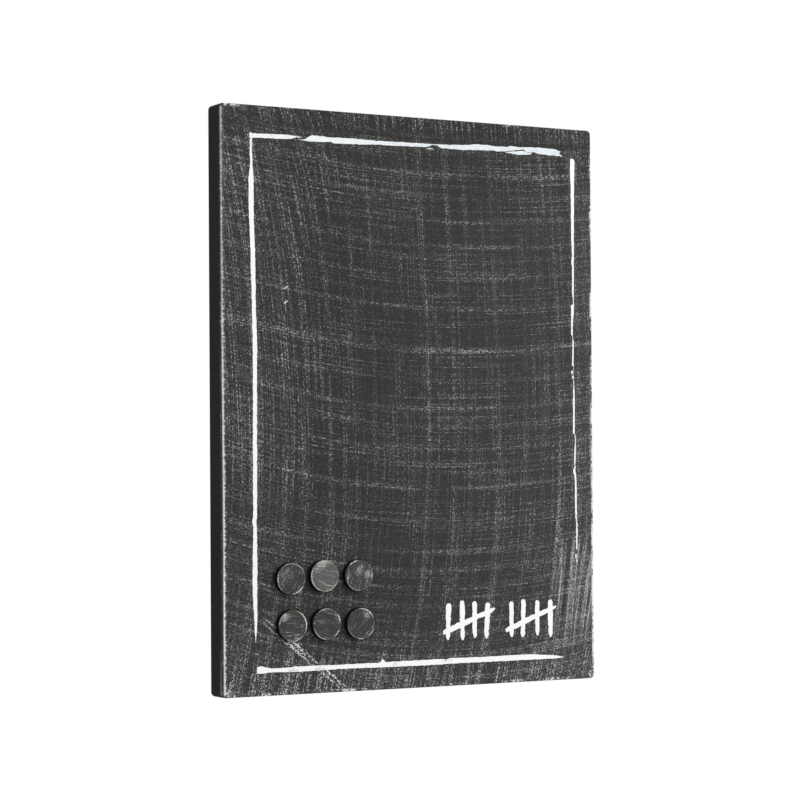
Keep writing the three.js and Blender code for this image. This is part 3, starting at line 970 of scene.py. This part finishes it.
# tone, brush angle, white, rim arcs of wear and painted highlight (angle, spread, strength), patches (x, z,
# size, strength)
MAGNETS = [
    ("333231", 60, 0.26, [(190, 45, 1.2), (300, 35, 1.2), (75, 70, 0.55)], [(-5, 3, 9, 0.4)]),
    ("535250", -14, 0.62, [(200, 70, 1.5), (95, 50, 0.8), (300, 50, 0.8)],
     [(-2.5, 8, 5, 1.6), (-6, 5, 4, 0.7)]),
    ("343332", 72, 0.42, [(118, 22, 1.5), (240, 45, 0.6), (10, 40, 0.3)],
     [(6.5, 1, 4.5, 1.3), (-0.5, 3, 6, 0.6)]),
    ("353432", -3, 0.34, [(22, 60, 1.3), (150, 35, 1.1), (280, 45, 0.9)],
     [(-6.5, 6, 4, 1.2), (3, -8, 4, 0.5)]),
    ("343332", -24, 0.28, [(100, 40, 0.7), (22, 18, 1.4), (235, 50, 1), (320, 20, 1.1)], [(7, 6, 3, 0.5)]),
    ("363533", 55, 0.22, [(62, 45, 1.4), (268, 14, 1.5), (225, 45, 0.5), (320, 30, 0.6)],
     [(4.5, 6.5, 4.5, 1)]),
]
# The rest of each rim is a little bare, and carries a little painted highlight.
BASE_RIM_WEAR_AND_HIGHLIGHT = 0.06   # how bare the rest of a rim is


def cap_mesh(name, low, high):
    """A cup with a slightly crowned front and a rounded rim, open to the board."""
    radius = (high.x - low.x) / 2
    front = low.y
    shoulder = front + CAP_CROWN
    inside = radius - CAP_WALL
    ceiling = shoulder + CAP_WALL
    profile = [(0, front), (radius * 0.3, front + CAP_CROWN * 0.09), (radius * 0.6, front + CAP_CROWN * 0.36)]
    profile += arc(radius - CAP_RIM, shoulder + CAP_RIM, CAP_RIM, -90, 0, 10)
    profile += [(radius, high.y), (inside, high.y), (inside, ceiling + CAP_FILLET)]
    profile += [(inside - CAP_FILLET, ceiling), (0, ceiling)]
    return turned(name, profile, 96, low, high)


def cap_finish(index, low, high):
    """The board's paint on a cap, brushed its own way, with a rim worn and painted with highlight in places,
    and a side wall in painted shade.
    """
    tone, angle, amount, arcs, patches = MAGNETS[index]
    finish = Finish(f"cap_paint_{index + 1}")
    noise = finish.noise
    across, depth, up = finish.places()
    across = across - (low.x + high.x) / 2 / MM
    up = up - (low.z + high.z) / 2 / MM
    behind = depth - low.y / MM
    turn = math.radians(angle)
    along_brush = across * math.cos(turn) + up * math.sin(turn)
    beside = up * math.cos(turn) - across * math.sin(turn)
    seed = 10.0 * index
    hairs = noise(along_brush / 9, beside / HAIR, seed, detail=1).step(0.5, 0.64)
    tufts = noise(along_brush / 14, beside / 3.5, seed + 3, detail=1).step(0.3, 0.7)
    grain = noise(across / 0.5, up / 0.5, seed + 5, detail=1)
    load = hairs * tufts * amount * 1.35 + amount * 0.1
    for x, z, size, strength in patches:
        away = ((across - x) ** 2 + (up - z) ** 2) ** 0.5
        load = load + away.step(size, 0) * (hairs * 0.7 + 0.3) * strength
    rows = finish.specks(along_brush / 1.3, beside / 0.9, 0.8) * 3.2 + 0.45
    white = load * rows * (grain.step(0.3, 0.62) * 0.6 + 0.55)

    reach = (across * across + up * up) ** 0.5
    radius = (high.x - low.x) / 2 / MM
    # Bright arcs on the rim: partly worn paint and partly painted highlight.
    rim = (reach + across.step(-2, 9) * 0.4).step(radius - 1.0, radius - 0.7) * behind.step(0.75, 0.4)
    rim_wear_and_highlight = BASE_RIM_WEAR_AND_HIGHLIGHT
    for rim_angle, spread, strength in arcs:
        aim = math.radians(rim_angle)
        facing = (across * math.cos(aim) + up * math.sin(aim)) / reach
        rim_wear_and_highlight = (facing.step(math.cos(math.radians(spread)), 1) * strength).above(rim_wear_and_highlight)
    dots = noise(across / 0.8, up / 0.8, seed + 7, detail=2).step(0.4, 0.56)
    rub_and_highlight = (rim * rim_wear_and_highlight * (dots * 0.9 + 0.1)).clamp()
    # Behind the front, the cap's side wall is near-black: painted shade.
    front = behind.step(1.1, 0.5)
    colour = finish.blend(front, srgb("161616"), srgb(tone))
    colour = finish.blend((white * front).clamp(), colour, SCUMBLE)
    colour = finish.blend(rub_and_highlight, colour, srgb("f3f0ea"))
    rough = 0.55 + (grain - 0.5) * 0.15
    return finish.surface(colour, rough, finish.bump(grain * 0.4 + white, 0.08 * MM, 0.6), 0.1)


for index in range(len(MAGNETS)):
    number = index + 1
    cap = f"magnet_cap_{number}"
    finish = cap_finish(index, *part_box(cap))
    dress(cap, f"magnet_cap_shell_{number}", cap_mesh, f"magnet_{number}", finish)

# %% [markdown]
# The ferrite discs keep their solids from the frame, because a plain disc is what they are. Ferrite is a
# pressed ceramic: dark, a little grey, with a dusty grain.

# %% Ferrite
def ferrite():
    finish = Finish("ferrite")
    grain = finish.grain(0.35)
    cloud = finish.grain(4)
    colour = finish.blend((grain - 0.4) * 1.2 + (cloud - 0.5) * 0.6, srgb("29292b"), srgb("4a4a4c"))
    return finish.surface(colour, 0.7 + (grain - 0.5) * 0.3, finish.bump(grain, 0.06 * MM, 0.5), 0.3)


ferrite_finish = ferrite()
for number in range(1, 7):
    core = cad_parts[f"magnet_core_{number}"]
    core.data.materials.clear()
    core.data.materials.append(ferrite_finish)

# %% [markdown]
# ## Back of the board
# Two zinc-plated keyhole plates are riveted inside the upper lip, and four rubber pads keep the steel off the
# wall. A stamped plate has small rounded edges, so it is drawn as a flat curve with a bevel and turned into
# a mesh.

# %% Zinc and plain grainy finishes
def zinc():
    finish = Finish("zinc_plate")
    across, depth, up = finish.places()
    cloud = finish.noise(across / 7, up / 7, depth / 7, detail=3)
    roll_marks = finish.noise(across / 0.5, up / 18, 4.0, detail=2)
    colour = finish.blend((cloud - 0.3) * 1.6, srgb("b9bfc4"), srgb("a7a79c"))
    rough = 0.34 + (cloud - 0.5) * 0.25 + (roll_marks - 0.5) * 0.1
    return finish.surface(colour, rough, finish.bump(roll_marks, 0.03 * MM, 0.5), metal=1.0)


def grainy(name, size, colours, rough, spread, bump, **look):
    """A finish whose colour, gloss and relief all follow one fine grain, with cells of size millimetres."""
    finish = Finish(name)
    grain = finish.grain(size, detail=3)
    colour = finish.blend(grain, *map(srgb, colours))
    return finish.surface(colour, rough + (grain - 0.5) * spread, finish.bump(grain, *bump), **look)


# %% Keyhole plates
HANGER_CORNER = 3 * MM
HANGER_BEVEL = 0.2 * MM
WELD = 0.002 * MM   # points nearer than this are one
HEAD_HOLE = 9 * MM
SLOT = 5 * MM
HANGER_RIM = 6.5 * MM
SLOT_TRAVEL = 12 * MM
RIVET_HOLE = 1.8 * MM
RIVET_SPACING = 18 * MM


def hanger_mesh(name, low, high):
    """A keyhole plate with two rivet holes, stamped from sheet."""
    middle = (low.x + high.x) / 2
    left, right = low.x + HANGER_CORNER, high.x - HANGER_CORNER
    bottom, top = low.z + HANGER_CORNER, high.z - HANGER_CORNER
    outline = []
    for quarter, (x, z) in enumerate(((right, top), (left, top), (left, bottom), (right, bottom))):
        outline += arc(x, z, HANGER_CORNER, 90 * quarter, 90 * quarter + 90)
    head_z = low.z + HANGER_RIM + HEAD_HOLE / 2
    meet = math.degrees(math.acos(SLOT / HEAD_HOLE))
    keyhole = arc(middle, head_z + SLOT_TRAVEL, SLOT / 2, 0, 180, 16)
    keyhole += arc(middle, head_z, HEAD_HOLE / 2, 180 - meet, 360 + meet, 36)
    rivet_low, rivet_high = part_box("hanger_rivet_1")
    rivet_z = (rivet_low.z + rivet_high.z) / 2
    loops = [outline, keyhole]
    for shift in (-RIVET_SPACING / 2, RIVET_SPACING / 2):
        loops.append(arc(middle + shift, rivet_z, RIVET_HOLE, 0, 350, 35))
    curve = bpy.data.curves.new(name, "CURVE")
    curve.dimensions = "2D"
    curve.fill_mode = "BOTH"
    curve.extrude = (high.y - low.y) / 2 - HANGER_BEVEL
    curve.bevel_depth = HANGER_BEVEL
    curve.bevel_resolution = 2
    curve.offset = -HANGER_BEVEL
    for points in loops:
        spline = curve.splines.new("POLY")
        spline.points.add(len(points) - 1)
        for point, (x, z) in zip(spline.points, points):
            point.co = (x, z, 0, 1)
        spline.use_cyclic_u = True
    mesh = finished_mesh(show(name, curve))
    mesh.transform(Matrix.Translation((0, (low.y + high.y) / 2, 0)) @ Matrix.Rotation(math.pi / 2, 4, "X"))
    shape = bmesh.new()
    shape.from_mesh(mesh)
    bmesh.ops.remove_doubles(shape, verts=shape.verts, dist=WELD)
    return soft_edges(closed_mesh(name, shape), 50)


zinc_finish = zinc()
for side in ("left", "right"):
    plate = f"hanger_plate_{side}"
    dress(plate, f"keyhole_plate_{side}", hanger_mesh, "board", zinc_finish)

# %% Blind rivets
RIVET_SHANK = 1.6 * MM
RIVET_TAIL = 2.4 * MM
RIVET_HEAD = 3.2 * MM
RIVET_BORE = 0.8 * MM
RIVET_BORE_DEPTH = 0.8 * MM
RIVET_TAIL_HEIGHT = 1.6 * MM
RIVET_TAIL_ROUND = 0.8 * MM
TAIL_FLAT = 0.62   # share of the tail's end that is flat


def rivet_mesh(name, low, high):
    """A blind rivet from its round tail inside the tray to its domed head with the broken pin's bore."""
    tail_end = low.y
    tail_seat = tail_end + RIVET_TAIL_HEIGHT
    bore_end = high.y - RIVET_BORE_DEPTH
    flat = RIVET_TAIL * TAIL_FLAT
    profile = [(0, tail_end), (flat, tail_end)]
    profile += arc(flat, tail_end + RIVET_TAIL_ROUND, RIVET_TAIL * (1 - TAIL_FLAT), -60, 0, 5)
    profile += [(RIVET_TAIL, tail_seat), (RIVET_SHANK, tail_seat)]
    profile += [(RIVET_SHANK, REAR_Y), (RIVET_HEAD, REAR_Y)]
    for i in range(1, 7):
        rise = math.sin(math.pi / 2 * i / 7)
        radius = RIVET_HEAD - (RIVET_HEAD - RIVET_BORE) * rise ** 3
        profile.append((radius, REAR_Y + (high.y - REAR_Y) * rise))
    profile += [(RIVET_BORE, high.y), (RIVET_BORE, bore_end), (0, bore_end)]
    return turned(name, profile, 48, low, high)


aluminium = grainy("rivet_aluminium", 0.6, ("c9cbcd", "a9abad"), 0.36, 0.3, (0.03 * MM, 0.4), metal=1.0)
for number in range(1, 5):
    rivet = f"hanger_rivet_{number}"
    dress(rivet, f"blind_rivet_{number}", rivet_mesh, "board", aluminium)

# %% Rubber pads
PAD_EDGE = 0.5 * MM


def pad_mesh(name, low, high):
    radius = (high.x - low.x) / 2
    profile = [(0, low.y), (radius, low.y)]
    profile += arc(radius - PAD_EDGE, high.y - PAD_EDGE, PAD_EDGE, 0, 90, 6)
    profile += [(0, high.y)]
    return turned(name, profile, 64, low, high)


rubber = grainy("pad_rubber", 0.4, ("1f2023", "34353a"), 0.86, 0.2, (0.1 * MM, 0.5), shine=0.3)
for corner in ("upper_left", "upper_right", "lower_left", "lower_right"):
    dress(f"bumper_pad_{corner}", f"rubber_pad_{corner}", pad_mesh, "board", rubber)
